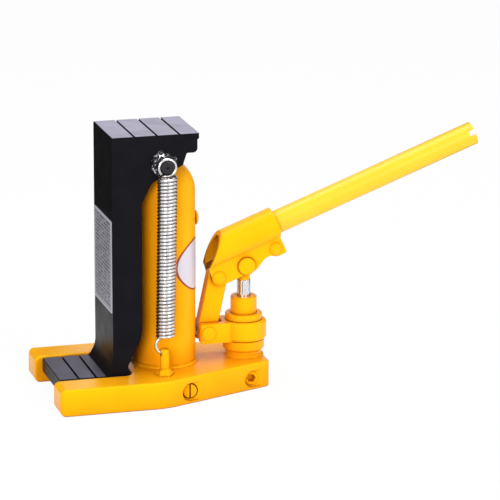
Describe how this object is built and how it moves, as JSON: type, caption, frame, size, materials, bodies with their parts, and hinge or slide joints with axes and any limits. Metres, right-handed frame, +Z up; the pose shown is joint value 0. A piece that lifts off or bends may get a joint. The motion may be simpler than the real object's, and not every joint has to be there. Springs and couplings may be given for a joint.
{
  "type": "hydraulic toe jack",
  "caption": "Hydraulic toe jack with a grooved lifting claw, forked base, spring return and a lever pump with a tube handle.",
  "frame": {"origin": "on the underside of the base, below the axis of the lifting cylinder", "axes": "+X from the toe to the pump and handle, +Y to the side without valves, +Z up along the ram"},
  "size_m": [0.4094, 0.138, 0.243],
  "materials": {
    "orange_paint": "gloss",
    "yellow_paint": "gloss",
    "black_paint": "satin",
    "bright_steel": "satin",
    "chrome": "polished",
    "grey_plate": "matte",
    "white_label": "gloss",
    "copper_washer": "satin",
    "rubber": "matte"
  },
  "bodies": {
    "base": {"base_casting": "orange_paint", "reservoir_tube": "orange_paint", "pressure_cylinder": "bright_steel", "cylinder_washer": "copper_washer", "gland_nut": "orange_paint", "rod_wiper": "rubber", "filler_plug": "orange_paint", "filler_washer": "orange_paint", "reservoir_label": "white_label", "spring_pegs": "orange_paint", "pump_body": "orange_paint", "pump_seal": "rubber", "retaining_collar": "orange_paint", "release_ball": "bright_steel", "relief_plug": "orange_paint", "relief_spring": "bright_steel", "relief_ball": "bright_steel", "check_balls": "bright_steel", "gallery_plug": "bright_steel", "return_spring_near": "bright_steel", "return_spring_far": "bright_steel"},
    "lifting_claw": {"claw": "black_paint", "ram": "chrome", "ram_seal": "rubber", "spec_plate": "grey_plate", "spring_pins": "black_paint"},
    "pump_swivel": {"swivel_ring": "orange_paint", "ear_pin": "orange_paint"},
    "pump_link": {"link": "orange_paint"},
    "lever": {"handle_socket": "orange_paint", "link_pin": "orange_paint", "plunger_pin": "orange_paint", "clamp_rivet": "orange_paint"},
    "pump_plunger": {"plunger": "chrome", "plunger_eye": "orange_paint"},
    "handle": {"handle_tube": "yellow_paint"},
    "release_screw": {"release_valve": "orange_paint"}
  },
  "joints": [
    {"name": "claw_lift", "type": "slide", "parent": "base", "child": "lifting_claw", "axis": [0, 0, 1], "range_m": [0, 0.12], "deforming": ["return_spring_near", "return_spring_far"]},
    {"name": "pump_turn", "type": "hinge", "parent": "base", "child": "pump_swivel", "pos_m": [0.075, 0, 0.05], "axis": [0, 0, 1], "range_deg": [-110, 110]},
    {"name": "link_swing", "type": "hinge", "parent": "pump_swivel", "child": "pump_link", "pos_m": [0.0387, 0, 0.05], "axis": [0, -1, 0], "range_deg": [-3.5, 3.5]},
    {"name": "plunger_stroke", "type": "slide", "parent": "pump_swivel", "child": "pump_plunger", "axis": [0, 0, 1], "range_m": [-0.0074, 0.0074]},
    {"name": "handle_pump", "type": "hinge", "parent": "pump_plunger", "child": "lever", "pos_m": [0.075, 0, 0.1105], "axis": [0, -1, 0], "range_deg": [-18, 18]},
    {"name": "handle_draw", "type": "slide", "parent": "lever", "child": "handle", "axis": [0.9336, 0, 0.3584], "range_m": [0, 0.025]},
    {"name": "release_turn", "type": "hinge", "parent": "base", "child": "release_screw", "pos_m": [0.0093, -0.058, 0.0112], "axis": [0, -1, 0], "range_deg": [0, 360]}
  ],
  "couplings": [
    {"joint": "link_swing", "follows": "handle_pump", "ratio": -0.192},
    {"joint": "plunger_stroke", "follows": "handle_pump", "m_per_rad": 0.02326}
  ]
}
